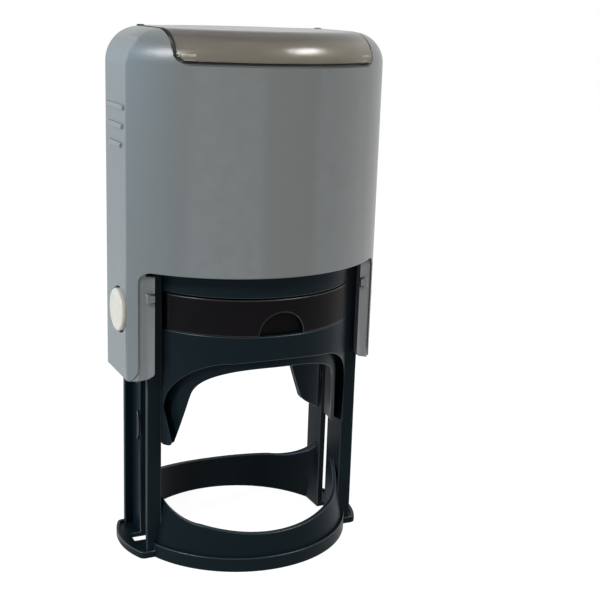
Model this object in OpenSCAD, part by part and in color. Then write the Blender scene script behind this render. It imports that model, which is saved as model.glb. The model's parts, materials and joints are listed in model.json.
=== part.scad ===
// Self-inking round stamp: a housing that slides down over a two-legged frame and turns the die over.
// Millimetres. The origin is the centre of the print ring, on the surface that the stamp stands on.
// +X is to the user's right, -Y is towards the user and +Z is up. Everything is drawn at rest.

/* [Die] */
// Diameter of the round rubber die
die_d = 41.3; // [38:0.1:42]
// Thickness of the rubber die
rubber_t = 2; // [1.6:0.1:2.2]
// Thickness of the foam cushion behind the rubber
cushion_t = 1; // [0.6:0.1:1.2]
// Thickness of the plate that carries the cushion
plate_t = 0.8; // [0.6:0.1:1.1]
// Rim of the plate that shows round the rubber
plate_rim = 0.55; // [0.2:0.05:0.6]
// Height of the carrier above its pivot axis
carrier_top = 1.4; // [1.3:0.1:1.8]
// Depth of the carrier's boss below its pivot axis
carrier_disc = 0.6; // [0.2:0.1:1]
// Radius of the carrier's boss
carrier_boss = 15.5; // [12:0.1:16]
// Radius of the carrier's pivot hubs and depth of its ribs below the axis
hub_r = 2.4; // [2:0.1:2.6]
// Radius of the steel pivot pins
pin_r = 1; // [0.8:0.05:1]
// How far the pins reach into the carrier's hubs
pin_grip = 3.2; // [2:0.1:4]
// Thickness of the flip cams on the pins
cam_t = 0.9; // [0.6:0.1:1]
// Reach of the flip cams from the pin axis
cam_reach = 5.2; // [4:0.1:6]

/* [Frame] */
// Clearance round the turning die
die_clear = 0.6; // [0.4:0.05:1]
// Wall of the arched skirt round the die
skirt_wall = 0.9; // [0.7:0.05:1]
// Wall of the apron at the middle of its front
apron_wall = 1.6; // [1.2:0.1:2]
// Half depth of the bridge where it meets the legs
bridge_flat = 9.9; // [9.5:0.1:11]
// Height of the ink pad's bay floor above the table
bay_z = 55; // [54.6:0.1:56]
// Height of the bridge's rim above the spring deck
deck_rim = 3.9; // [3.4:0.1:4.2]
// Thickness of the spring deck over the bay
deck_t = 1.5; // [1.2:0.1:2]
// Lower edge of the apron at its middle
apron_z = 49.5; // [48.5:0.1:51]
// Radius of the apron's lower corners
apron_corner = 12; // [9:0.5:13]
// How far the apron's edge falls before its corners
apron_sag = 0.7; // [0.3:0.1:2]
// Top of the skirt's arch
arch_z = 47.6; // [45:0.1:48]
// Half width of the skirt's arch at its shoulders
arch_half = 17.9; // [16:0.1:18.4]
// Height of the arch's shoulders above the table
shoulder_z = 39.7; // [38:0.1:41]
// Bottom of the skirt's rounded lobes
lobe_z = 27.2; // [25:0.1:30]
// Inner edge of the lobes
lobe_x = 20.1; // [19.6:0.1:20.4]
// Inner edge of the apron's tongues, at their tips beside the legs
tongue_x = 21.4; // [20.8:0.1:21.5]
// Wall of the legs
leg_wall = 1.5; // [1.2:0.1:1.6]
// Wall of the legs' flanges
flange_wall = 1.2; // [1:0.1:1.5]
// Depth of the leg channels, outside the web
channel_depth = 1.95; // [1.6:0.05:2.2]
// Half width of the legs
leg_half = 9.1; // [8.6:0.1:9.3]
// Top of the legs
leg_top = 68.5; // [66:0.5:70]
// Clearance each side of the pins in their slots
slot_clear = 0.9; // [0.8:0.05:1.1]
// Height of the flip bump above the table
bump_z = 28.3; // [26:0.1:31]
// Length of the flip bump
bump_len = 7.5; // [6:0.1:8]
// How far the flip bump stands off the web
bump_rise = 0.65; // [0.4:0.05:0.7]
// How far the flip bump narrows the slot
bump_bite = 0.65; // [0.4:0.05:0.7]

/* [Print ring] */
// Half width of the ring at its foot
ring_half_w = 27; // [26.5:0.1:28]
// How far the ring's foot sits behind the housing's front
ring_back = 0.1; // [0:0.05:0.5]
// Wall of the ring at its foot
ring_wall = 2; // [1.6:0.1:2.2]
// Height of the groove round the ring
groove_z = 3.4; // [2.5:0.1:4]
// Step in at the groove
groove_step = 0.8; // [0.4:0.1:0.9]
// Height of the ring at its front
ring_z = 8.5; // [7:0.1:10]
// How far the ring's outside leans in from foot to front edge
ring_lean = 1.6; // [1.4:0.1:1.8]
// How far the ring's inside leans in from foot to front edge
ring_lean_in = 0.85; // [0.6:0.05:0.9]
// Fillet from the ring's edge up to the legs
ring_fillet = 7; // [5:0.5:8]
// Thickness of the foot plates
foot_t = 1.2; // [0.9:0.1:1.3]
// Height of the low rim round the foot plates
foot_rim = 0.5; // [0.3:0.1:0.5]
// Outer end of the foot plates
foot_x = 30; // [29.5:0.1:30.5]
// Half width of the foot plates
foot_half = 9.6; // [9.2:0.1:10.5]
// Radius of the foot plates' outer edge
foot_arc = 20; // [18:0.5:26]

/* [Housing] */
// Height of the stamp at rest
height = 119.6; // [118:0.2:124]
// Wall of the housing's front and back
panel_wall = 1.4; // [1.2:0.1:1.6]
// Wall of the housing's sides
side_wall = 1.9; // [1.6:0.1:2.2]
// Thickness of the housing's roof
roof_t = 4; // [3.6:0.1:5]
// Half depth of the housing's flat sides
side_flat = 7.5; // [7:0.1:8]
// Rounding of the roof's front and back edges
edge_r = 7; // [5:0.5:8]
// Rounding of the roof's side corners
corner_r = 8; // [6:0.5:8]
// Lower edge of the front and back panels
panel_z = 68.4; // [66:0.2:72]
// Lower end of the arms
arm_z = 42.85; // [42.5:0.05:43.2]
// Inner edge of the arms
arm_x = 25.2; // [25:0.1:26]
// Half depth of the arms' recessed front and back faces at their inner edge
arm_face = 11.2; // [10.8:0.1:12]
// Depth of that recess below the housing's surface at its outer edge
arm_step = 0.5; // [0.2:0.05:0.6]
// Rounding of the arms' lower inner corners
arm_corner = 1.5; // [0.8:0.1:2.5]
// Room between the leg flanges and the arms' outer wall
arm_room = 2.3; // [2.1:0.1:2.6]
// Sliding clearance between the frame and the housing
slide_gap = 0.3; // [0.2:0.05:0.5]
// Clearance between the bridge and the front panel
panel_gap = 0.5; // [0.4:0.05:0.8]
// Gap left under the arms when the housing is pressed home
press_stop = 2.05; // [2:0.05:2.4]
// Distance of the print face above the table when pressed home
print_gap = 0.3; // [0.2:0.05:0.5]
// How far the grip ribs and the lugs stand proud
rib_rise = 0.4; // [0.2:0.05:0.5]
// Depth of the lowest grip rib below the roof
rib_drop = 24.7; // [20:0.1:28]
// Distance from one grip rib to the next
rib_pitch = 4.05; // [3:0.05:5]
// Length of the lowest grip rib
rib_len = 8.6; // [6:0.1:9]
// Width of a grip rib
rib_w = 1.2; // [0.8:0.1:1.6]
// Height of the middle of the arm lugs
lug_z = 62.3; // [61:0.05:64]

/* [Window cap] */
// Half width of the window cap
cap_half = 22.65; // [18:0.05:22.8]
// Depth of the window cap's lower edge below the roof
cap_drop = 6.4; // [5.6:0.1:6.8]
// Rear edge of the window cap
cap_back = 10; // [6:0.5:12]
// How far the window cap stands proud
cap_rise = 0.1; // [0:0.05:0.3]
// Wall of the window cap
cap_wall = 1.1; // [0.8:0.1:1.1]
// Depth of the cap's bed below the housing's surface
cap_bed = 1.4; // [1.35:0.05:1.6]
// Gap round the window cap
cap_gap = 0.3; // [0.2:0.05:0.4]
// Thickness of the index card
card_t = 0.25; // [0.15:0.05:0.3]

/* [Ink cartridge] */
// Height of the cartridge
cartridge_h = 8.3; // [7.5:0.1:8.5]
// Half width of the cartridge's front face
cartridge_half = 22.2; // [21.7:0.1:22.4]
// Clearance round the cartridge
cartridge_gap = 0.3; // [0.2:0.05:0.4]
// Radius of the finger scoop
scoop_r = 5.2; // [4:0.1:6]
// Depth of the finger scoop
scoop_d = 1.7; // [1.2:0.1:1.8]
// Thickness of the felt pad
pad_t = 4.5; // [3.5:0.1:5]
// How far the pad's face sits up inside the cartridge
pad_inset = 0.2; // [0:0.05:0.4]
// How far the pad reaches past the rubber die
pad_margin = 0.15; // [0.1:0.05:0.2]

/* [Lock buttons] */
// Radius of a lock button
button_r = 4.8; // [4.5:0.1:5.4]
// Clearance round a lock button
button_gap = 0.4; // [0.3:0.05:0.5]
// Height of the lock buttons above the table
button_z = 58.1; // [57:0.1:60]
// How far the lock buttons sit in front of the arms' middle
button_y = 1.8; // [0:0.1:2]
// How far a lock button stands proud
button_proud = 0.8; // [0.4:0.05:0.9]
// Rim of the flange that keeps a button in its hole
button_flange = 0.8; // [0.6:0.05:0.8]
// Length of the button's stem behind its flange
stem_len = 1.1; // [0.8:0.05:1.1]
// Thickness of the leaf springs behind the buttons
leaf_t = 0.3; // [0.2:0.05:0.35]

/* [Return spring] */
// Mean radius of the return spring
spring_r = 6.3; // [6:0.1:7]
// Wire diameter of the return spring
wire_d = 0.9; // [0.7:0.05:0.9]
// Turns of the return spring
turns = 9; // [6:1:9]
// Wall of the spring post
post_wall = 1.2; // [0.8:0.1:1.4]
// Height of the spring post above its flange
post_h = 7.5; // [5:0.5:8]

/* [Hidden] */
$fn = 96;
far = 80;
sliver = 0.01;

// Die, from the rubber outwards
die_r = die_d / 2;
plate_r = die_r + plate_rim;
chamber_r = plate_r + die_clear;
face_up = carrier_top + plate_t + cushion_t + rubber_t;
travel = arm_z - press_stop;
pivot_z = travel + face_up + print_gap;

// Frame, from the die chamber outwards
skirt_r = chamber_r + skirt_wall;
web_in = skirt_r + 0.15;
web_out = web_in + leg_wall;
tip_x = web_out + channel_depth;
bridge_depth = chamber_r + apron_wall;
bridge_c = arc_centre(web_in, bridge_depth, bridge_flat);
slot_half = pin_r + slot_clear;
bay_top = bay_z + cartridge_h + cartridge_gap;
deck_z = bay_top + deck_t;
deck_rim_z = deck_z + deck_rim;

// Housing, from the frame outwards
arm_in = tip_x + arm_room;
half_w = arm_in + side_wall;
half_d = bridge_depth + panel_gap + panel_wall;
housing_c = arc_centre(half_w, half_d, side_flat);
ceiling_z = height - roof_t;
inner_edge_r = edge_r + 0.5;
rib_z = height - rib_drop;
cap_z = height - cap_drop;

// Ring, as deep as the housing
ring_half_d = half_d - ring_back;
ring_c = arc_centre(ring_half_w, ring_half_d, 0);
ring_full_z = ring_z + ring_fillet + 3;

// Spring between the deck and the roof
seat_t = 1.2;
spring_low = deck_z + seat_t;
post_r = spring_r - wire_d / 2 - 0.5;
post_rim = 3.2;
collar_in = spring_r + wire_d / 2 + 0.4;
collar_wall = 1.4;
collar_h = 2;

// Buttons, pins and cams, by distance from the middle plane
flange_t = 0.9;
cam_x = web_out + bump_rise + 0.2;
boss_x = cam_x + cam_t + 0.4;
boss_r = 3;
pin_fit = 0.05;
pin_end = arm_in - 0.4;
bore_end = pin_end + 0.15;
hub_x = plate_r + 0.1;
stem_r = 1.2;

// Leaf springs, by height from the button's axis, and the slots that grip them
leaf_half = 2.2;
leaf_tail = 2.6;
leaf_fit = 0.05;
anchor_low = button_r + button_flange + button_gap + 0.6;
anchor_h = 4;
anchor_wall = 0.6;
leaf_rise = anchor_low + anchor_h - anchor_wall;

// Distance of an arc's centre past the middle, for a lens of the given half width and half depth
// whose arcs are still side_y from the middle line where they reach the half width
function arc_centre(half_width, half_depth, side_y) =
    (half_width * half_width + side_y * side_y - half_depth * half_depth)
    / (2 * (half_depth - side_y));

// Half depth of the housing at the given distance from its middle
function surface_y(x) = sqrt(pow(half_d + housing_c, 2) - x * x) - housing_c;

// Points on an arc, in degrees from +X
function arc(cx, cy, r, from, to, steps) =
    [for (i = [0 : steps]) let (a = from + (to - from) * i / steps) [cx + r * cos(a), cy + r * sin(a)]];

// The left half of an outline that is alike on both sides
function mirrored(points) = [for (i = [len(points) - 1 : -1 : 0]) [-points[i][0], points[i][1]]];

module both_sides() {
    children();
    mirror([1, 0, 0]) children();
}

// What two copies share, moved apart front and back
module lens(c) {
    intersection() {
        translate([0, c, 0]) children();
        translate([0, -c, 0]) children();
    }
}

// A shape drawn in the front view, cut through the whole depth
module through_y(from_y = far) {
    translate([0, from_y, 0]) rotate([90, 0, 0]) linear_extrude(2 * far) children();
}

// A round piece that points away from the middle plane
module along_x(x, y, z) {
    translate([x, y, z]) rotate([0, 90, 0]) children();
}

module block(x0, x1, y0, y1, z0, z1) {
    translate([x0, y0, z0]) cube([x1 - x0, y1 - y0, z1 - z0]);
}

// Housing shape, with rounded roof edges and corners
module edge_profile(r, h, round_r) {
    square([r - round_r, h]);
    square([r, h - round_r]);
    translate([r - round_r, h - round_r]) circle(round_r);
}

module corner_profile(w, h, round_r) {
    translate([-w, 0]) square([2 * w, h - round_r]);
    translate([round_r - w, 0]) square([2 * (w - round_r), h]);
    for (s = [-1, 1])
        translate([s * (w - round_r), h - round_r]) circle(round_r);
}

module housing_form(grow, h, w, edge, corner) {
    intersection() {
        lens(housing_c) rotate_extrude() edge_profile(half_d + housing_c + grow, h, edge);
        through_y() corner_profile(w, h, corner);
    }
}

module housing_outside(grow = 0) {
    housing_form(grow, height + grow, half_w + grow, edge_r + grow, corner_r + grow);
}

// Window cap, seen from the front, from its rear edge forwards
module cap_region(grow) {
    round_r = 2 + grow;
    w = cap_half + grow;
    low = cap_z - grow;
    translate([0, cap_back + grow, 0]) rotate([90, 0, 0]) linear_extrude(far) {
        translate([-w, low + round_r]) square([2 * w, far]);
        translate([round_r - w, low]) square([2 * (w - round_r), far]);
        for (s = [-1, 1])
            translate([s * (w - round_r), low + round_r]) circle(round_r);
    }
}

// Print ring
module ring_outer_profile() {
    r = ring_half_d + ring_c;
    slope = (ring_lean - groove_step) / (ring_z - groove_z);
    polygon([[0, 0], [r, 0], [r, groove_z], [r - groove_step, groove_z],
        [r - groove_step - slope * (ring_full_z - groove_z), ring_full_z], [0, ring_full_z]]);
}

module ring_inner_profile() {
    r = ring_half_d + ring_c - ring_wall;
    polygon([[0, -1], [r, -1], [r, 0],
        [r - ring_lean_in * ring_full_z / ring_z, ring_full_z + sliver], [0, ring_full_z + sliver]]);
}

// The ring's upper edge dips a little at the middle and sweeps up to the legs
module ring_front_view() {
    sweep_x = web_in - ring_fillet;
    rise = 0.006;
    edge = [for (i = [0 : 8]) let (x = sweep_x * i / 8) [x, ring_z + rise * x * x]];
    sweep_z = ring_z + rise * sweep_x * sweep_x + ring_fillet;
    half = concat(edge, arc(sweep_x, sweep_z, ring_fillet, -84, 0, 10), [[far, sweep_z], [far, -1]]);
    polygon(concat(mirrored(half), half));
}

module ring() {
    intersection() {
        difference() {
            lens(ring_c) rotate_extrude() ring_outer_profile();
            lens(ring_c) rotate_extrude() ring_inner_profile();
        }
        through_y() ring_front_view();
    }
}

module foot_plan(grow) {
    round_r = 1.5;
    r = foot_arc + grow;
    y1 = foot_half + grow;
    centre_x = foot_x - foot_arc;
    corner_y = y1 - round_r;
    corner_x = centre_x + sqrt(pow(r - round_r, 2) - corner_y * corner_y);
    touch_y = corner_y * r / (r - round_r);
    translate([web_in, -y1]) square([corner_x - web_in, 2 * y1]);
    intersection() {
        translate([centre_x, 0]) circle(r);
        translate([web_in, -touch_y]) square([far, 2 * touch_y]);
    }
    for (s = [-1, 1])
        translate([corner_x, s * corner_y]) circle(round_r);
}

module foot() {
    rim_w = 0.8;
    linear_extrude(foot_t) foot_plan(0);
    difference() {
        linear_extrude(foot_t + foot_rim) foot_plan(0);
        translate([0, 0, -1]) linear_extrude(far) foot_plan(-rim_w);
        block(0, web_out, -far, far, -1, far);
    }
}

// Bump beside the slot, which turns the die over
module flip_bump() {
    reach = 1.65;
    bump_r = (bump_len * bump_len / 4 + reach * reach) / (2 * reach);
    low_y = slot_half - bump_bite;
    intersection() {
        along_x(web_out - sliver, low_y + bump_r, bump_z) cylinder(r = bump_r, h = bump_rise + sliver);
        block(0, far, low_y - 1, low_y + reach, 0, far);
    }
}

module base_frame() {
    color("#23262b") {
        difference() {
            union() {
                difference() {
                    ring();
                    both_sides() block(web_in, far, flange_wall - leg_half, leg_half - flange_wall, foot_t, far);
                }
                both_sides() {
                    difference() {
                        block(web_in, tip_x, -leg_half, leg_half, 0, leg_top);
                        block(web_out, far, flange_wall - leg_half, leg_half - flange_wall, -1, far);
                    }
                    foot();
                }
            }
            both_sides() block(web_in - 1, tip_x + 0.6, -slot_half, slot_half, -1, pivot_z + slot_half);
        }
        both_sides() flip_bump();
    }
}

// Bridge between the legs, with its apron, its arched skirt and the pad's bay
module apron_front_view() {
    side_inset = 0.15;
    corner_x = web_in - side_inset - apron_corner;
    edge = [for (i = [0 : 6]) let (x = corner_x * i / 6) [x, apron_z - apron_sag * pow(i / 6, 2)]];
    corner_z = apron_z - apron_sag - apron_corner;
    tongue_r = 0.9;
    tongue_z = lobe_z + 0.6;
    tongue = arc(tongue_x + tongue_r, tongue_z + tongue_r, tongue_r, 180, 270, 4);
    half = concat(edge, arc(corner_x, corner_z, apron_corner, 84, 0, 16), tongue,
        [[far, tongue_z], [far, far]]);
    polygon(concat(mirrored(half), half));
}

// A squared ellipse that leans outwards, so that it runs on straight into the lobes
module skirt_front_view() {
    lobe_r = 1.5;
    bend = 2.54;
    steps = 20;
    rise = arch_z - shoulder_z;
    lean = (lobe_x - arch_half) / (shoulder_z - lobe_z - lobe_r);
    edge = [for (i = [0 : steps])
        let (a = 90 - 90 * i / steps, drop = rise * (1 - pow(sin(a), 2 / bend)))
        [(arch_half - lean * rise) * pow(cos(a), 2 / bend) + lean * drop, arch_z - drop]];
    lobe = arc(lobe_x + lobe_r, lobe_z + lobe_r, lobe_r, 180, 270, 6);
    half = concat(edge, lobe, [[far, lobe_z], [far, far]]);
    polygon(concat(mirrored(half), half));
}

module bridge_prism(inset, z0, z1) {
    translate([0, 0, z0]) intersection() {
        lens(bridge_c) cylinder(r = bridge_depth + bridge_c - inset, h = z1 - z0);
        block(inset - web_in, web_in - inset, -far, far, -1, far);
    }
}

module pad_housing() {
    rim_wall = 1.5;
    color("#1d2025") {
        difference() {
            union() {
                intersection() {
                    bridge_prism(0, 0, bay_z);
                    through_y() apron_front_view();
                }
                intersection() {
                    cylinder(r = skirt_r, h = bay_z);
                    through_y() skirt_front_view();
                }
            }
            translate([0, 0, -1]) cylinder(r = chamber_r, h = far);
            both_sides() block(chamber_r - 2, far, -slot_half, slot_half, 0, pivot_z + slot_half);
        }
        difference() {
            bridge_prism(0, bay_z, deck_rim_z);
            translate([0, 0, bay_z - 1]) cylinder(r = chamber_r + cartridge_gap, h = bay_top - bay_z + 1);
            block(-far, far, -far, 0, bay_z - 1, bay_top);
            bridge_prism(rim_wall, deck_z, far);
        }
    }
}

// Ink cartridge and its pad
module ink_cartridge() {
    tray_r = chamber_r - 0.1;
    floor_t = 1.2;
    pocket_top = bay_z + pad_inset + pad_t;
    color("#2a2323") difference() {
        union() {
            intersection() {
                bridge_prism(0, bay_z, bay_z + cartridge_h);
                block(-cartridge_half, cartridge_half, -far, 0, 0, far);
            }
            translate([0, 0, bay_z]) cylinder(r = tray_r, h = cartridge_h);
        }
        translate([0, 0, bay_z - 1]) cylinder(r = die_r + pad_margin + pin_fit, h = pocket_top - bay_z + 1);
        translate([0, 0, pocket_top + floor_t]) cylinder(r = die_r - 1, h = far);
        translate([0, scoop_d - bridge_depth, bay_z]) rotate([90, 0, 0]) cylinder(r = scoop_r, h = far);
    }
}

module ink_pad() {
    color("#1a1c3a") translate([0, 0, bay_z + pad_inset]) cylinder(r = die_r + pad_margin, h = pad_t);
}

// Turning die
module die_carrier() {
    rib_half = 0.8;
    rib_r = carrier_boss - 4.5;
    rim_t = 0.6;
    rim_z = pivot_z + carrier_top - rim_t;
    color("#33363b") difference() {
        union() {
            translate([0, 0, rim_z]) cylinder(r = plate_r, h = rim_t);
            translate([0, 0, pivot_z - carrier_disc]) cylinder(r = carrier_boss, h = carrier_top + carrier_disc);
            intersection() {
                union() {
                    block(-far, far, -rib_half, rib_half, pivot_z - hub_r, rim_z);
                    block(-rib_half, rib_half, -rib_r, rib_r, pivot_z - hub_r, rim_z);
                    both_sides() block(hub_x - pin_grip - 1.2, far, -hub_r, hub_r, pivot_z - hub_r, rim_z);
                }
                translate([0, 0, pivot_z - hub_r]) cylinder(r = plate_r, h = 2 * hub_r);
            }
        }
        both_sides() along_x(hub_x - pin_grip, 0, pivot_z) cylinder(r = pin_r, h = far);
    }
}

module die_plate() {
    color("#b9bcc0") translate([0, 0, pivot_z + carrier_top]) cylinder(r = plate_r, h = plate_t);
}

module die_cushion() {
    color("#d8c9a0") translate([0, 0, pivot_z + carrier_top + plate_t]) cylinder(r = die_r, h = cushion_t);
}

module rubber_die() {
    low = pivot_z + carrier_top + plate_t + cushion_t;
    color("#7d2f2a") translate([0, 0, low]) cylinder(r = die_r, h = rubber_t);
}

module pivot_pin() {
    color("#c9ccd0") along_x(hub_x - pin_grip, 0, pivot_z) cylinder(r = pin_r, h = pin_end - hub_x + pin_grip);
}

module flip_cam() {
    tip_r = 1.3;
    color("#e6e2d6") difference() {
        union() {
            along_x(cam_x, 0, pivot_z) cylinder(r = hub_r, h = cam_t);
            block(cam_x, cam_x + cam_t, tip_r - cam_reach, 0, pivot_z - tip_r, pivot_z + tip_r);
            along_x(cam_x, tip_r - cam_reach, pivot_z) cylinder(r = tip_r, h = cam_t);
        }
        along_x(cam_x - 1, 0, pivot_z) cylinder(r = pin_r, h = cam_t + 2);
    }
}

// Return spring on its post
module spring_post() {
    color("#2b2e33") {
        difference() {
            union() {
                translate([0, 0, deck_z]) cylinder(r = post_r + post_rim, h = seat_t);
                translate([0, 0, deck_z]) cylinder(r = post_r, h = seat_t + post_h);
            }
            translate([0, 0, deck_z - 1]) cylinder(r = post_r - post_wall, h = far);
        }
    }
}

// One tube along a helix, with a flat-lying turn at each end
module return_spring() {
    sides = 6;
    rings = 14;
    wire_r = wire_d / 2;
    total = turns * rings;
    end_turn = rings;
    low = spring_low + wire_r + sliver;
    high = ceiling_z - wire_r - sliver;
    function rise_at(i) = i < end_turn ? wire_d * i / end_turn
        : i > total - end_turn ? high - low - wire_d * (total - i) / end_turn
        : wire_d + (high - low - 2 * wire_d) * (i - end_turn) / (total - 2 * end_turn);
    points = [for (i = [0 : total]) for (k = [0 : sides - 1])
        let (a = 360 * i / rings, b = 360 * k / sides, r = spring_r + wire_r * cos(b))
        [r * cos(a), r * sin(a), low + rise_at(i) + wire_r * sin(b)]];
    walls = [for (i = [0 : total - 1]) for (k = [0 : sides - 1])
        let (a = i * sides + k, b = i * sides + (k + 1) % sides)
        for (f = [[a, a + sides, b], [b, a + sides, b + sides]]) f];
    ends = [[for (k = [0 : sides - 1]) k], [for (k = [sides - 1 : -1 : 0]) total * sides + k]];
    color("#b4b8bd") polyhedron(points, concat(walls, ends));
}

// Housing, with an arm down each side
module panel_cutout() {
    round_r = 2.4;
    w = arm_in;
    flare_r = 4.5;
    flare_h = 3.2;
    translate([-w, -1]) square([2 * w, panel_z - round_r + 1]);
    translate([round_r - w, -1]) square([2 * (w - round_r), panel_z + 1]);
    for (s = [-1, 1])
        translate([s * (w - round_r), panel_z - round_r]) circle(round_r);
    difference() {
        translate([-half_w, 0]) square([2 * half_w, arm_z + flare_h]);
        for (s = [-1, 1])
            translate([s * (w + flare_r), arm_z + flare_h]) circle(flare_r);
    }
}

// The arms' recess, seen from above: deep at their inner edge and shallow at their outer one
module recess_plan() {
    steps = 4;
    rest = [for (i = [0 : steps])
        let (x = arm_in + (half_w + 1 - arm_in) * i / steps) [x, arm_step - surface_y(x)]];
    half = concat([[arm_x, -arm_face]], rest, [[half_w + 1, -far]]);
    polygon(concat(mirrored(half), half));
}

module below_arms() {
    translate([-far, -1]) square([2 * far, arm_z + 1]);
    translate([-arm_x, -1]) square([2 * arm_x, panel_z + 1]);
    difference() {
        x = arm_x + arm_corner;
        translate([-x, 0]) square([2 * x, arm_z + arm_corner]);
        for (s = [-1, 1])
            translate([s * x, arm_z + arm_corner]) circle(arm_corner);
    }
}

module arm_hollow(z0, z1) {
    y1 = leg_half + slide_gap;
    block(-arm_in, arm_in, -y1, y1, z0, z1);
}

module housing_inside() {
    inner_w = half_w - side_wall;
    translate([0, 0, -sliver])
        housing_form(-panel_wall, ceiling_z + sliver, inner_w, inner_edge_r, corner_r);
}

module grip_ribs() {
    for (i = [0 : 2]) {
        len = rib_len + 1.9 * i;
        z = rib_z + rib_pitch * i;
        block(half_w - 0.5, half_w + rib_rise, -len / 2, len / 2, z - rib_w / 2, z + rib_w / 2);
    }
}

module arm_lugs() {
    lug_w = 1.9;
    lug_h = 2.3;
    lug_d = 1.5;
    for (s = [-1, 1])
        translate([arm_x + 0.1 + lug_w / 2, s * (arm_face + rib_rise - lug_d / 2), lug_z])
            cube([lug_w, lug_d, lug_h], center = true);
}

// Holder of the leaf spring behind a button, with the slot that grips the leaf
module leaf_anchor() {
    half = leaf_half + leaf_fit + anchor_wall;
    slot = leaf_half + leaf_fit;
    low = button_z + anchor_low;
    leaf_out = arm_in - flange_t;
    difference() {
        block(leaf_out - leaf_t - anchor_wall, arm_in + side_wall / 2, -button_y - half, half - button_y,
            low, low + anchor_h);
        block(leaf_out - leaf_t - leaf_fit, leaf_out + leaf_fit, -button_y - slot, slot - button_y,
            low - 1, button_z + leaf_rise + leaf_fit);
    }
}

module housing() {
    color("#8b9096") difference() {
        union() {
            difference() {
                housing_outside();
                through_y() below_arms();
                for (s = [0, 1])
                    mirror([0, s, 0]) intersection() {
                        through_y() panel_cutout();
                        translate([0, 0, -1]) linear_extrude(far * 2) recess_plan();
                    }
                intersection() {
                    housing_inside();
                    block(-far, far, -far, far, panel_z - 1, far * 2);
                }
                arm_hollow(0, panel_z);
                difference() {
                    cap_region(cap_gap);
                    housing_outside(-cap_bed);
                }
            }
            both_sides() {
                intersection() {
                    housing_outside();
                    difference() {
                        block(arm_x, far, -arm_face, arm_face, panel_z - sliver, panel_z + 6);
                        arm_hollow(0, far * 2);
                    }
                }
                grip_ribs();
                arm_lugs();
                along_x(boss_x, 0, pivot_z) cylinder(r = boss_r, h = arm_in - boss_x + 0.5);
                leaf_anchor();
            }
            translate([0, 0, ceiling_z - collar_h]) difference() {
                cylinder(r = collar_in + collar_wall, h = collar_h + 0.5);
                translate([0, 0, -1]) cylinder(r = collar_in, h = collar_h + 1);
            }
        }
        both_sides() {
            along_x(boss_x - 1, 0, pivot_z) cylinder(r = pin_r + pin_fit, h = bore_end - boss_x + 1);
            along_x(arm_in, -button_y, button_z) cylinder(r = button_r + button_gap, h = far);
        }
    }
}

module window_cap() {
    tab_w = 1.7;
    tab_d = 1.4;
    tab_rise = 0.6;
    inner = cap_rise - cap_wall;
    color("#5c5048", 0.6) {
        difference() {
            intersection() {
                cap_region(0);
                housing_outside(cap_rise);
            }
            housing_outside(inner);
        }
        both_sides() translate([cap_half - tab_w, 0, height - cap_wall / 2]) difference() {
            block(0, tab_w, cap_back - tab_d, cap_back, 0, cap_wall / 2 + tab_rise);
            block(tab_w - tab_rise / 2, tab_w + 1, -far, far, cap_wall / 2 + tab_rise / 2, far);
        }
    }
}

module index_card() {
    inset = 1.4;
    card_gap = 0.3;
    low = height - cap_bed;
    color("#f2f0ea") translate([0, 0, low]) intersection() {
        lens(housing_c) cylinder(r = half_d + housing_c - edge_r - card_gap, h = card_t);
        block(inset - cap_half, cap_half - inset, -far, cap_back - inset, 0, card_t);
    }
}

// Lock buttons in the arms, and the leaf springs behind them
module lock_button() {
    rim_r = 0.5;
    out = half_w - arm_in + button_proud + flange_t;
    color("#e3dbc6") along_x(arm_in - flange_t, -button_y, button_z) {
        rotate_extrude() {
            square([button_r - rim_r, out]);
            square([button_r, out - rim_r]);
            translate([button_r - rim_r, out - rim_r]) circle(rim_r);
            square([button_r + button_flange + button_gap, flange_t]);
        }
        translate([0, 0, -stem_len]) cylinder(r = stem_r, h = stem_len + sliver);
    }
}

module button_spring() {
    leaf_out = arm_in - flange_t;
    color("#c4c7cb") difference() {
        block(leaf_out - leaf_t, leaf_out, -button_y - leaf_half, leaf_half - button_y,
            button_z - leaf_tail, button_z + leaf_rise);
        along_x(0, -button_y, button_z) cylinder(r = stem_r + 0.3, h = far);
    }
}

module pivot_pin_right() {
    pivot_pin();
}

module pivot_pin_left() {
    mirror([1, 0, 0]) pivot_pin();
}

module flip_cam_right() {
    flip_cam();
}

module flip_cam_left() {
    mirror([1, 0, 0]) flip_cam();
}

module lock_button_right() {
    lock_button();
}

module lock_button_left() {
    mirror([1, 0, 0]) lock_button();
}

module button_spring_right() {
    button_spring();
}

module button_spring_left() {
    mirror([1, 0, 0]) button_spring();
}

base_frame();
pad_housing();
ink_cartridge();
ink_pad();
die_carrier();
die_plate();
die_cushion();
rubber_die();
pivot_pin_left();
pivot_pin_right();
flip_cam_left();
flip_cam_right();
spring_post();
return_spring();
housing();
window_cap();
index_card();
lock_button_left();
lock_button_right();
button_spring_left();
button_spring_right();
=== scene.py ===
import json
import math

import bmesh
import bpy
from mathutils import Matrix, Vector
from mathutils.bvhtree import BVHTree
from mathutils.interpolate import poly_3d_calc


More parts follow.
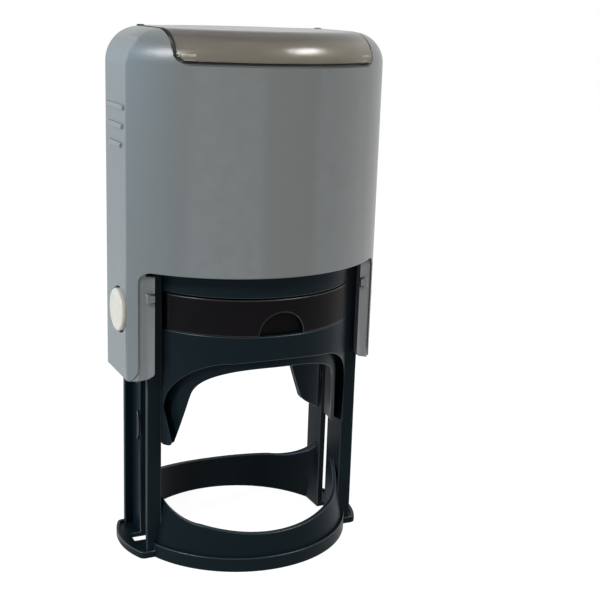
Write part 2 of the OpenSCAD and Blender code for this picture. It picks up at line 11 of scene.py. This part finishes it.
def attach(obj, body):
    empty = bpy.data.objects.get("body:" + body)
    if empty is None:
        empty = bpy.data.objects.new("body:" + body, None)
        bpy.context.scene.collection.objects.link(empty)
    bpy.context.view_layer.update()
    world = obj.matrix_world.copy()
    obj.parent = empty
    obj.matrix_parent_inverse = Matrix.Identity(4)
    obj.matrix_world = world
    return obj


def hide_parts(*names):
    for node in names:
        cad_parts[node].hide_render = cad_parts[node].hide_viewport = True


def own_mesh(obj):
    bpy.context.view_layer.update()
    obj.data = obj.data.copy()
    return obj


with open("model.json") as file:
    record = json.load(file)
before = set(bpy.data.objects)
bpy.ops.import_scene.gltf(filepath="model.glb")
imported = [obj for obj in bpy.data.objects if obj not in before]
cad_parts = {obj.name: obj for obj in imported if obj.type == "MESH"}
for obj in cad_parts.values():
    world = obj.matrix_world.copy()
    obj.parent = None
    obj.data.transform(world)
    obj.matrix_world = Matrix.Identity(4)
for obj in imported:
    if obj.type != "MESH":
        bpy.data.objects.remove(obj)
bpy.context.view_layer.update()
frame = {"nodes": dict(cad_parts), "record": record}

mm = 0.001
nodes = frame["nodes"]
bodies = frame["record"]["behaviour"]["bodies"]
bodyOf = {node: body for body, members in bodies.items() for node in members}
slotOf = {part["node"]: part["material_slot"] for part in frame["record"]["subparts"]}


# a node, with its settings and the values of its inputs given by name
def addNode(tree, kind, **values):
    node = tree.nodes.new(kind)
    for name, value in values.items():
        if hasattr(node, name):
            setattr(node, name, value)
        else:
            node.inputs[name.replace("_", " ")].default_value = value
    return node


# an empty shader group whose inputs are the numbers given
def startGroup(name, numbers, outputs):
    group = bpy.data.node_groups.new(name, "ShaderNodeTree")
    for socketName, value in numbers.items():
        socket = group.interface.new_socket(name=socketName, in_out="INPUT",
                                            socket_type="NodeSocketFloat")
        socket.default_value = value
    for socketName in outputs:
        group.interface.new_socket(name=socketName, in_out="OUTPUT", socket_type="NodeSocketFloat")
    return group, group.nodes.new("NodeGroupInput"), group.nodes.new("NodeGroupOutput")


# moulded grain: a height that is fine and even, with a little slow unevenness under it
grainLook = {"Grain Scale": 5000, "Wave Scale": 140, "Wave Share": 0.3}


def buildGrain(look):
    group, start, end = startGroup("mouldedGrain", look, ["Height", "Speckle"])
    coords = addNode(group, "ShaderNodeTexCoord")
    fine = addNode(group, "ShaderNodeTexNoise", Detail=3, Roughness=0.6)
    slow = addNode(group, "ShaderNodeTexNoise", Detail=2, Roughness=0.5)
    share = addNode(group, "ShaderNodeMath", operation="MULTIPLY_ADD")
    for noise, socket in ((fine, "Grain Scale"), (slow, "Wave Scale")):
        group.links.new(coords.outputs["Object"], noise.inputs["Vector"])
        group.links.new(start.outputs[socket], noise.inputs["Scale"])
    group.links.new(slow.outputs["Fac"], share.inputs[0])
    group.links.new(start.outputs["Wave Share"], share.inputs[1])
    group.links.new(fine.outputs["Fac"], share.inputs[2])
    group.links.new(share.outputs[0], end.inputs["Height"])
    group.links.new(fine.outputs["Fac"], end.inputs["Speckle"])
    return group


# handling wear: a mask, in patches, of where an edge stands proud
wearLook = {"Low": 0.52, "High": 0.62, "Patch Scale": 300}


def buildEdgeWear(look):
    group, start, end = startGroup("edgeWear", look, ["Mask"])
    shape = addNode(group, "ShaderNodeNewGeometry")
    edge = addNode(group, "ShaderNodeMapRange")
    coords = addNode(group, "ShaderNodeTexCoord")
    patch = addNode(group, "ShaderNodeTexNoise", Detail=3, Roughness=0.6)
    both = addNode(group, "ShaderNodeMath", operation="MULTIPLY")
    group.links.new(shape.outputs["Pointiness"], edge.inputs["Value"])
    group.links.new(start.outputs["Low"], edge.inputs["From Min"])
    group.links.new(start.outputs["High"], edge.inputs["From Max"])
    group.links.new(coords.outputs["Object"], patch.inputs["Vector"])
    group.links.new(start.outputs["Patch Scale"], patch.inputs["Scale"])
    group.links.new(edge.outputs["Result"], both.inputs[0])
    group.links.new(patch.outputs["Fac"], both.inputs[1])
    group.links.new(both.outputs[0], end.inputs["Mask"])
    return group


grainGroup = buildGrain(grainLook)
wearGroup = buildEdgeWear(wearLook)


def startMaterial(name):
    material = bpy.data.materials.new(name)
    material.use_nodes = True
    tree = material.node_tree
    return material, tree, tree.nodes["Principled BSDF"]


def placeGroup(tree, group, values):
    placed = addNode(tree, "ShaderNodeGroup", node_tree=group)
    for name, value in values.items():
        placed.inputs[name].default_value = value
    return placed


# low and high are each a colour or another node's output
def colourMix(tree, factor, low, high):
    mix = addNode(tree, "ShaderNodeMix", data_type="RGBA")
    tree.links.new(factor, mix.inputs[0])
    for place, colour in ((6, low), (7, high)):  # the Mix node's two colours
        if isinstance(colour, bpy.types.NodeSocket):
            tree.links.new(colour, mix.inputs[place])
        else:
            mix.inputs[place].default_value = (*colour, 1)
    return mix.outputs[2]


def setRoughness(tree, shader, source, low, high):
    rough = addNode(tree, "ShaderNodeMapRange", To_Min=low, To_Max=high)
    tree.links.new(source, rough.inputs["Value"])
    tree.links.new(rough.outputs["Result"], shader.inputs["Roughness"])


def setBump(tree, shader, source, strength, depth):
    bump = addNode(tree, "ShaderNodeBump", Strength=strength, Distance=depth)
    tree.links.new(source, bump.inputs["Height"])
    tree.links.new(bump.outputs["Normal"], shader.inputs["Normal"])


# how far the speckle moves a plastic's roughness each way, and how deep its grain is
plasticGrain = {"spread": 0.04, "depth": 0.0001}


# a moulded plastic, or rubber, foam, felt or card: speckled, grained, and paler on its worn edges
def mouldedPlastic(name, look):
    material, tree, shader = startMaterial(name)
    grain = placeGroup(tree, grainGroup,
                       {"Grain Scale": look["grainScale"], "Wave Scale": grainLook["Wave Scale"],
                        "Wave Share": look.get("waveShare", grainLook["Wave Share"])})
    wear = placeGroup(tree, wearGroup, wearLook)
    speckle = grain.outputs["Speckle"]
    unworn = colourMix(tree, speckle, look["dark"], look["light"])
    worn = colourMix(tree, wear.outputs["Mask"], unworn, look["worn"])
    tree.links.new(worn, shader.inputs["Base Color"])
    setRoughness(tree, shader, speckle, look["roughness"] - plasticGrain["spread"],
                 look["roughness"] + plasticGrain["spread"])
    setBump(tree, shader, grain.outputs["Height"], look["bump"], plasticGrain["depth"])
    if "specular" in look:
        shader.inputs["Specular IOR Level"].default_value = look["specular"]
    return material


# the two edge materials are paler, shinier copies of the frame and cartridge plastics, put on the
# rounded edges of the dark mouldings as a painted glint
plasticLooks = {
    "housing_plastic": {"dark": (0.098, 0.103, 0.097), "light": (0.131, 0.137, 0.129),
                        "worn": (0.19, 0.20, 0.20), "roughness": 0.31, "grainScale": 5200,
                        "bump": 0.35},
    "frame_plastic": {"dark": (0.0024, 0.0060, 0.0078), "light": (0.0046, 0.0100, 0.0126),
                      "worn": (0.012, 0.020, 0.025), "roughness": 0.36, "grainScale": 4200,
                      "bump": 0.2, "specular": 0.045},
    "frame_edge_glint": {"dark": (0.0040, 0.0085, 0.0110), "light": (0.0070, 0.0130, 0.0160),
                   "worn": (0.016, 0.025, 0.030), "roughness": 0.32, "grainScale": 4200,
                   "bump": 0.1, "specular": 0.32},
    "cartridge_plastic": {"dark": (0.0022, 0.0016, 0.0020), "light": (0.0042, 0.0031, 0.0036),
                          "worn": (0.014, 0.012, 0.013), "roughness": 0.42, "grainScale": 4200,
                          "bump": 0.25, "specular": 0.045},
    "cartridge_edge_glint": {"dark": (0.0050, 0.0042, 0.0046), "light": (0.0080, 0.0066, 0.0072),
                       "worn": (0.016, 0.014, 0.015), "roughness": 0.32, "grainScale": 4200,
                       "bump": 0.1, "specular": 0.30},
    "carrier_plastic": {"dark": (0.020, 0.023, 0.026), "light": (0.032, 0.036, 0.040),
                        "worn": (0.06, 0.06, 0.06), "roughness": 0.45, "grainScale": 4200,
                        "bump": 0.25, "specular": 0.25},
    "plate_plastic": {"dark": (0.34, 0.35, 0.36), "light": (0.40, 0.41, 0.42),
                      "worn": (0.5, 0.5, 0.5), "roughness": 0.35, "grainScale": 3600, "bump": 0.15},
    "cam_plastic": {"dark": (0.52, 0.49, 0.40), "light": (0.60, 0.57, 0.48),
                    "worn": (0.65, 0.62, 0.54), "roughness": 0.35, "grainScale": 3600,
                    "bump": 0.15},
    "button_plastic": {"dark": (0.48, 0.41, 0.325), "light": (0.54, 0.47, 0.38),
                       "worn": (0.60, 0.53, 0.44), "roughness": 0.38, "grainScale": 3600,
                       "bump": 0.15},
    "die_rubber": {"dark": (0.10, 0.028, 0.022), "light": (0.14, 0.038, 0.030),
                   "worn": (0.18, 0.06, 0.05), "roughness": 0.65, "grainScale": 3000, "bump": 0.3},
    "cushion_foam": {"dark": (0.42, 0.34, 0.18), "light": (0.52, 0.43, 0.25),
                     "worn": (0.55, 0.46, 0.28), "roughness": 0.85, "grainScale": 1500,
                     "bump": 0.8},
    "pad_felt": {"dark": (0.006, 0.006, 0.010), "light": (0.014, 0.014, 0.020),
                 "worn": (0.016, 0.016, 0.022), "roughness": 0.95, "grainScale": 1800,
                 "bump": 1.0, "waveShare": 0.8},
    "card_paper": {"dark": (0.50, 0.49, 0.45), "light": (0.58, 0.57, 0.53),
                   "worn": (0.58, 0.57, 0.53), "roughness": 0.9, "grainScale": 2500, "bump": 0.3},
}
materials = {slot: mouldedPlastic(slot, look) for slot, look in plasticLooks.items()}

# how far the lines move a steel's roughness each way, and how strong and deep they are
steelLines = {"spread": 0.08, "bump": 0.2, "depth": 0.00005}


# drawn or ground steel: fine lines round or along the piece
def drawnSteel(name, look):
    material, tree, shader = startMaterial(name)
    coords = addNode(tree, "ShaderNodeTexCoord")
    stretch = addNode(tree, "ShaderNodeMapping", Scale=look["stretch"])
    lines = addNode(tree, "ShaderNodeTexNoise", Scale=look["lineScale"], Detail=4, Roughness=0.6)
    tree.links.new(coords.outputs["Object"], stretch.inputs["Vector"])
    tree.links.new(stretch.outputs["Vector"], lines.inputs["Vector"])
    line = lines.outputs["Fac"]
    tree.links.new(colourMix(tree, line, look["dark"], look["light"]), shader.inputs["Base Color"])
    setRoughness(tree, shader, line, look["roughness"] - steelLines["spread"],
                 look["roughness"] + steelLines["spread"])
    setBump(tree, shader, line, steelLines["bump"], steelLines["depth"])
    shader.inputs["Metallic"].default_value = 1
    return material


steelLooks = {
    "pin_steel": {"dark": (0.42, 0.43, 0.44), "light": (0.58, 0.59, 0.60), "roughness": 0.3,
                  "stretch": (0.15, 1, 1), "lineScale": 4000},
    "spring_steel": {"dark": (0.38, 0.39, 0.41), "light": (0.52, 0.53, 0.55), "roughness": 0.32,
                     "stretch": (1, 1, 0.4), "lineScale": 2500},
}
for slot, look in steelLooks.items():
    materials[slot] = drawnSteel(slot, look)

scuffSpread = 0.08  # how much the scuffs add to a clear plastic's roughness


# smoky clear plastic with faint scuffs, turning to a darker painted shade from one height to the
# other, towards its top
def smokyClear(name, look):
    material, tree, shader = startMaterial(name)
    coords = addNode(tree, "ShaderNodeTexCoord")
    scuffs = addNode(tree, "ShaderNodeTexNoise", Scale=look["scuffScale"], Detail=5, Roughness=0.7)
    tree.links.new(coords.outputs["Object"], scuffs.inputs["Vector"])
    scuff = scuffs.outputs["Fac"]
    colour = colourMix(tree, scuff, look["dark"], look["light"])
    # painted shade: between the two heights the colour darkens towards the cap's top
    if "deep" in look:
        low, high = look["heights"]
        height = addNode(tree, "ShaderNodeSeparateXYZ")
        depth = addNode(tree, "ShaderNodeMapRange", interpolation_type="SMOOTHSTEP",
                        From_Min=low, From_Max=high)
        tree.links.new(coords.outputs["Object"], height.inputs["Vector"])
        tree.links.new(height.outputs["Z"], depth.inputs["Value"])
        colour = colourMix(tree, depth.outputs["Result"], colour, look["deep"])
    tree.links.new(colour, shader.inputs["Base Color"])
    setRoughness(tree, shader, scuff, look["roughness"], look["roughness"] + scuffSpread)
    shader.inputs["IOR"].default_value = look["ior"]
    shader.inputs["Transmission Weight"].default_value = look["clear"]
    return material


clearLooks = {
    # cap_clear darkens over its roof as painted shade
    "cap_clear": {"dark": (0.53, 0.48, 0.39), "light": (0.60, 0.55, 0.45),
                  "deep": (0.10, 0.09, 0.075), "heights": (0.1172, 0.1194), "roughness": 0.17,
                  "scuffScale": 600, "clear": 0.9, "ior": 1.38},
    # the cap's rim material is nearly black: painted shade on its rounded edges, for the gap around
    # the cap
    "cap_rim_shade": {"dark": (0.012, 0.011, 0.010), "light": (0.020, 0.018, 0.016),
                "deep": (0.012, 0.011, 0.010), "heights": (0.1150, 0.1180), "roughness": 0.45,
                "scuffScale": 900, "clear": 0.1, "ior": 1.15},
    "cap_frosted": {"dark": (0.80, 0.78, 0.72), "light": (0.88, 0.86, 0.80), "roughness": 0.35,
                    "scuffScale": 900, "clear": 0.05, "ior": 1.4},
}
for name, look in clearLooks.items():
    materials[name] = smokyClear(name, look)
print("materials made")


def addObject(name, data):
    made = bpy.data.objects.new(name, data)
    bpy.context.scene.collection.objects.link(made)
    return made


def addMesh(name, bm):
    mesh = bpy.data.meshes.new(name)
    bm.to_mesh(mesh)
    return addObject(name, mesh)


def startPiece(name, bm, slot):
    piece = addMesh(name, bm)
    piece.data.materials.append(materials[slot])
    return piece


# lengths in metres and angles in degrees
rounding = {
    "merge": 0.000002,  # points this near are one
    "shortest": 0.00001,  # shorter edges go
    "flat": 0.05,  # faces that turn less are one
    "sharp": 22,  # edges that turn more are rounded
    "needle": 33,  # a corner this narrow keeps one of its two edges sharp
    "segments": 2,
    "slim": 0.00002,  # a face this narrow is shaded like a rounded edge
}
shading = {
    "reach": 0.00003,  # how near the CAD surface is looked for
    "agree": 0.93,  # least cosine between that surface and the face
    "lengths": (0.9, 1.1),  # of a direction that was blended soundly
    "shared": 24,  # faces that turn less are shaded as one
    "shortest": 1e-6,  # a sum of directions that is shorter has none
}


# gives the direction of a CAD surface near a point, for a face that looks the given way
def surfaceReader(source):
    spots = [vert.co.copy() for vert in source.vertices]
    faces = [tuple(face.vertices) for face in source.polygons]
    starts = [face.loop_start for face in source.polygons]
    corners = [corner.vector.copy() for corner in source.corner_normals]
    tree = BVHTree.FromPolygons(spots, faces)
    shortest, longest = shading["lengths"]

    def read(place, facing):
        best, found = shading["agree"], facing
        for spot, normal, index, gap in tree.find_nearest_range(place, shading["reach"]):
            match = normal.dot(facing)
            if match > best:
                shares = poly_3d_calc([spots[i] for i in faces[index]], spot)
                blend = sum((corners[starts[index] + k] * share for k, share in enumerate(shares)),
                            Vector())
                if shortest < blend.length < longest:
                    best, found = match, blend.normalized()
        return found
    return read


# flat and curved faces keep the CAD's shading, and the rounded edges run from one to the next
def shadeAsDrawn(mesh, bm, rounded, read):
    near = math.cos(math.radians(shading["shared"]))
    seen = {}
    for vert in bm.verts:
        seen[vert] = [(loop.face, read(vert.co, loop.face.normal), loop.calc_angle())
                      for loop in vert.link_loops if loop.face not in rounded]
    directions = []
    for face in bm.faces:
        for loop in face.loops:
            around = seen[loop.vert]
            own = next((normal for other, normal, angle in around if other is face), None)
            total = sum((normal * angle for other, normal, angle in around
                         if own is None or normal.dot(own) > near), Vector())
            if total.length > shading["shortest"]:
                directions.append(total.normalized())
            else:
                directions.append(loop.vert.normal.copy())
    mesh.normals_split_custom_set(directions)


# outer edges only, and where two of them meet in a needle corner, only the sharper one
def edgesToRound(bm, crisp):
    def outside(vert):
        return not crisp or abs(vert.co.x) > crisp["inside"] or vert.co.z > crisp["below"]

    sharp = {}
    for edge in bm.edges:
        if edge.is_manifold and edge.is_convex and any(outside(vert) for vert in edge.verts):
            turn = edge.calc_face_angle(0)
            if turn > math.radians(rounding["sharp"]):
                sharp[edge] = turn
    needle = math.radians(rounding["needle"])
    for face in bm.faces:
        for loop in face.loops:
            pair = [loop.edge, loop.link_loop_prev.edge]
            if all(edge in sharp for edge in pair) and loop.calc_angle() < needle:
                sharp.pop(min(pair, key=sharp.get))
    return list(sharp)


# raises what is low and far in, fading out towards the slant's top
def slantEnds(bm, slant):
    for vert in bm.verts:
        low = min(1, max(0, (slant["top"] - vert.co.z) / slant["height"]))
        vert.co.z += low * slant["rise"] * (slant["outer"] - abs(vert.co.x)) / slant["width"]


# a CAD solid with its sharp edges rounded as the mould left them
def softenSolid(node, look):
    bm = bmesh.new()
    bm.from_mesh(nodes[node].data)
    if "top" in look:
        for vert in bm.verts:
            vert.co.z = min(vert.co.z, look["top"])
    bmesh.ops.remove_doubles(bm, verts=bm.verts, dist=rounding["merge"])
    bmesh.ops.dissolve_degenerate(bm, dist=rounding["shortest"], edges=bm.edges)
    bmesh.ops.dissolve_limit(bm, angle_limit=math.radians(rounding["flat"]), verts=bm.verts,
                             edges=bm.edges)
    if "slant" in look:
        slantEnds(bm, look["slant"])
    made = bmesh.ops.bevel(bm, geom=edgesToRound(bm, look.get("crisp")), offset=look["edge"],
                           offset_type="OFFSET", segments=rounding["segments"], profile=0.5,
                           affect="EDGES", clamp_overlap=False, material=-1)
    rounded = set(made["faces"])
    # the rounded edges take the rim material where there is one: a painted glint on the dark
    # mouldings, painted shade on the window cap
    for face in rounded:
        face.material_index = 1 if "rim" in look else 0
    for face in bm.faces:
        face.smooth = True
        if face.calc_area() < rounding["slim"] * max(edge.calc_length() for edge in face.edges):
            rounded.add(face)
    bm.normal_update()
    piece = startPiece(node + "_shown", bm, slotOf[node])
    shadeAsDrawn(piece.data, bm, rounded, surfaceReader(nodes[node].data))
    bm.free()
    if "rim" in look:
        piece.data.materials.append(materials[look["rim"]])
    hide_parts(node)
    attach(piece, bodyOf[node])


# edge: width of the rounded edges; rim: their own material, a painted glint on the dark mouldings
# and painted shade on the window cap; top: the highest level that is kept
solidLooks = {
    "housing": {
        "edge": 0.00035,
        # the arms' lower ends rise from their outer side inwards
        "slant": {"rise": 0.00125, "outer": 0.0305, "width": 0.0053, "top": 0.05285,
                  "height": 0.01},
        # edges stay sharp inside this half width and below this level, on the arms' inner sides
        "crisp": {"inside": 0.0256, "below": 0.0675},
    },
    "base_frame": {"edge": 0.00022, "rim": "frame_edge_glint"},
    "pad_housing": {"edge": 0.0002, "rim": "frame_edge_glint"},
    "ink_cartridge": {"edge": 0.0003, "rim": "cartridge_edge_glint"},
    "die_carrier": {"edge": 0.0002},
    "die_plate": {"edge": 0.0002},
    "rubber_die": {"edge": 0.0002},
    "spring_post": {"edge": 0.0002},
    "window_cap": {"edge": 0.0003, "top": 0.11985, "rim": "cap_rim_shade"},
}
for node, look in solidLooks.items():
    softenSolid(node, look)

# the return spring, in millimetres: one wire wound up from the deck, with a closed turn at each
# end; coil and wire are radii, and pressed is the share of its height that is left when it is down
springLook = {"coil": 6.3, "wire": 0.45, "low": 66.76, "high": 115.14, "turns": 9, "steps": 40,
              "sides": 10, "foot": 66.3, "pressed": 0.171}


def windSpring(look):
    bm = bmesh.new()
    start = Matrix.Translation((look["coil"] * mm, 0, look["low"] * mm))
    bmesh.ops.create_circle(bm, segments=look["sides"], radius=look["wire"] * mm,
                            matrix=start @ Matrix.Rotation(math.radians(90), 4, "X"))
    last = list(bm.edges)
    closed = 2 * look["wire"]
    middle = look["turns"] - 2
    climb = look["high"] - look["low"] - 2 * closed
    for turns, rise in ((1, closed), (middle, climb), (1, closed)):
        steps = look["steps"] * turns
        made = bmesh.ops.spin(bm, geom=last, cent=(0, 0, 0), axis=(0, 0, 1),
                              dvec=(0, 0, rise * mm / steps), angle=math.radians(360 * turns),
                              steps=steps)
        last = [item for item in made["geom_last"] if isinstance(item, bmesh.types.BMEdge)]
    bmesh.ops.holes_fill(bm, edges=bm.edges, sides=look["sides"])
    bmesh.ops.recalc_face_normals(bm, faces=bm.faces)
    for face in bm.faces:
        face.smooth = len(face.verts) == 4
    spring = startPiece("return_spring_shown", bm, "spring_steel")
    bm.free()
    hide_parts("return_spring")
    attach(spring, "frame")
    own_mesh(spring)


windSpring(springLook)

# lock buttons, in millimetres: turned from a profile of radius and distance out, with faint rings
# in their faces; edges that turn by more degrees than the crease look sharp
buttonLook = {"centre": (0, -1.8, 58.1), "steps": 96, "crease": 40,
              "profile": [(0, 26.6), (1.0, 26.6), (1.2, 26.8), (1.2, 27.7), (6.0, 27.7),
                          (6.0, 28.6), (4.8, 28.6), (4.8, 30.8), (4.74, 31.02), (4.58, 31.2),
                          (4.36, 31.28), (4.1, 31.3), (3.72, 31.3), (3.62, 31.26), (3.52, 31.3),
                          (2.9, 31.3), (2.8, 31.26), (2.7, 31.3), (2.0, 31.3), (1.9, 31.26),
                          (1.8, 31.3), (1.1, 31.3), (1.0, 31.27), (0.9, 31.3), (0, 31.3)]}


def turnButton(node, side, look):
    bm = bmesh.new()
    centre = Vector(look["centre"]) * mm
    points = [bm.verts.new((side * out * mm, centre.y, centre.z + radius * mm))
              for radius, out in look["profile"]]
    edges = [bm.edges.new(pair) for pair in zip(points, points[1:])]
    bmesh.ops.spin(bm, geom=points + edges, cent=centre, axis=(1, 0, 0), angle=math.radians(360),
                   steps=look["steps"], use_merge=True)
    bmesh.ops.remove_doubles(bm, verts=bm.verts, dist=rounding["merge"])
    bmesh.ops.recalc_face_normals(bm, faces=bm.faces)
    for face in bm.faces:
        face.smooth = True
    for edge in bm.edges:
        edge.smooth = edge.is_manifold and edge.calc_face_angle(0) < math.radians(look["crease"])
    button = startPiece(node + "_shown", bm, slotOf[node])
    bm.free()
    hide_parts(node)
    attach(button, bodyOf[node])


turnButton("lock_button_left", -1, buttonLook)
turnButton("lock_button_right", 1, buttonLook)

# window cap clips, in millimetres: at each lower corner of the cap, two small bars behind its arc,
# each with its level and how far it lies behind the arc
clipLook = {"arc": 33.83, "centre": 9.73, "angle": 36.6, "bar": (3.0, 0.3, 0.42),
            "levels": ((113.45, 0.1), (114.5, 0.3))}


def addClips(look):
    bm = bmesh.new()
    centre = Matrix.Translation((0, look["centre"] * mm, 0))
    bar = Matrix.Diagonal((*[length * mm for length in look["bar"]], 1))
    for side in (-1, 1):
        turn = centre @ Matrix.Rotation(math.radians(side * look["angle"]), 4, "Z")
        for level, behind in look["levels"]:
            place = turn @ Matrix.Translation((0, (behind - look["arc"]) * mm, level * mm))
            bmesh.ops.create_cube(bm, size=1, matrix=place @ bar)
    clips = startPiece("window_cap_clips", bm, "cap_clear")
    bm.free()
    clips.data.materials[0] = materials["cap_frosted"]
    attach(clips, "cap")


addClips(clipLook)

# solids whose shape is right stay as they are, in their own material
for node, piece in nodes.items():
    if not piece.hide_render:
        piece.data.materials.clear()
        piece.data.materials.append(materials[slotOf[node]])
print("pieces made")

# the photograph's view: metres, radians, and the focal length in pixels of its width
cameraLook = {"place": (-0.103617, -0.247075, 0.126944), "yaw": 0.448, "pitch": 0.253,
              "roll": 0.034, "focal": 1174.335, "pixels": 600, "sensor": 36, "nearest": 0.01}


def placeCamera(look):
    yaw, pitch, roll = look["yaw"], look["pitch"], look["roll"]
    ahead = Vector((math.sin(yaw) * math.cos(pitch), math.cos(yaw) * math.cos(pitch),
                    -math.sin(pitch)))
    level = Vector((math.cos(yaw), -math.sin(yaw), 0))
    upright = level.cross(ahead)
    right = math.cos(roll) * level + math.sin(roll) * upright
    up = math.cos(roll) * upright - math.sin(roll) * level
    data = bpy.data.cameras.new("photoCamera")
    data.sensor_width = look["sensor"]
    data.lens = look["focal"] / look["pixels"] * look["sensor"]
    data.clip_start = look["nearest"]
    turn = Matrix((right, up, -ahead)).transposed().to_4x4()
    camera = addObject("photoCamera", data)
    camera.matrix_world = Matrix.Translation(look["place"]) @ turn
    bpy.context.scene.camera = camera


def addLamp(name, look, target):
    data = bpy.data.lights.new(name, "AREA")
    data.shape = "RECTANGLE"
    data.size, data.size_y = look["size"]
    data.energy = look["power"]
    data.color = look["colour"]
    place = Vector(look["place"])
    aim = (Vector(target) - place).to_track_quat("-Z", "Y").to_matrix().to_4x4()
    addObject(name, data).matrix_world = Matrix.Translation(place) @ aim


# the rays to which the background is white: from the camera, through the cap and off gloss
def backgroundRays(tree):
    path = addNode(tree, "ShaderNodeLightPath")
    shown = path.outputs["Is Camera Ray"]
    for kind in ("Is Transmission Ray", "Is Glossy Ray"):
        either = addNode(tree, "ShaderNodeMath", operation="MAXIMUM")
        tree.links.new(shown, either.inputs[0])
        tree.links.new(path.outputs[kind], either.inputs[1])
        shown = either.outputs[0]
    return shown


# the white shader as far as the factor goes, and the plain one for the rest
def mixShaders(tree, factor, plain, white, out):
    mix = addNode(tree, "ShaderNodeMixShader")
    for socket, source in zip(mix.inputs, (factor, plain.outputs[0], white.outputs[0])):
        tree.links.new(source, socket)
    tree.links.new(mix.outputs[0], out.inputs["Surface"])


# a plain room that lights the stamp, seen as white
def whiteBehind(look):
    world = bpy.data.worlds.new("studio")
    world.use_nodes = True
    bpy.context.scene.world = world
    tree = world.node_tree
    tree.nodes.clear()
    room = addNode(tree, "ShaderNodeBackground", Color=(*look["colour"], 1),
                   Strength=look["strength"])
    white = addNode(tree, "ShaderNodeBackground", Color=(1, 1, 1, 1), Strength=1)
    mixShaders(tree, backgroundRays(tree), room, white, addNode(tree, "ShaderNodeOutputWorld"))


# a pale floor, seen as white for the given share, so that the rest shows the stamp's shadow
def layFloor(look):
    bm = bmesh.new()
    bmesh.ops.create_circle(bm, cap_ends=True, segments=look["sides"], radius=look["radius"])
    floor = addMesh("floor", bm)
    bm.free()
    material = bpy.data.materials.new("paleFloor")
    material.use_nodes = True
    tree = material.node_tree
    tree.nodes.clear()
    share = addNode(tree, "ShaderNodeMath", operation="MULTIPLY")
    share.inputs[1].default_value = look["share"]
    tree.links.new(backgroundRays(tree), share.inputs[0])
    lit = addNode(tree, "ShaderNodeBsdfDiffuse", Color=(*look["colour"], 1))
    white = addNode(tree, "ShaderNodeEmission", Color=(1, 1, 1, 1), Strength=look["white"])
    mixShaders(tree, share.outputs[0], lit, white, addNode(tree, "ShaderNodeOutputMaterial"))
    floor.data.materials.append(material)


roomLook = {"colour": (0.96, 0.98, 1.0), "strength": 0.16}
floorLook = {"radius": 0.7, "sides": 64, "share": 0.86, "colour": (0.86, 0.86, 0.86), "white": 1.12}
lampTarget = (0, 0, 0.06)
lamps = {
    "coolLeft": {"place": (-0.85, 0.40, 0.40), "size": (1.6, 0.8), "power": 8.6,
                 "colour": (0.30, 0.66, 1.0)},
    "leftGlint": {"place": (-0.80, -0.24, 0.63), "size": (0.19, 0.14), "power": 8,
                  "colour": (0.98, 0.98, 1.0)},
    "softRight": {"place": (0.52, -0.45, 0.79), "size": (0.35, 0.22), "power": 7.2,
                  "colour": (0.97, 0.98, 1.0)},
}
placeCamera(cameraLook)
whiteBehind(roomLook)
layFloor(floorLook)
for name, look in lamps.items():
    addLamp(name, look, lampTarget)
bpy.context.scene.view_settings.view_transform = "Standard"
print("stage set")
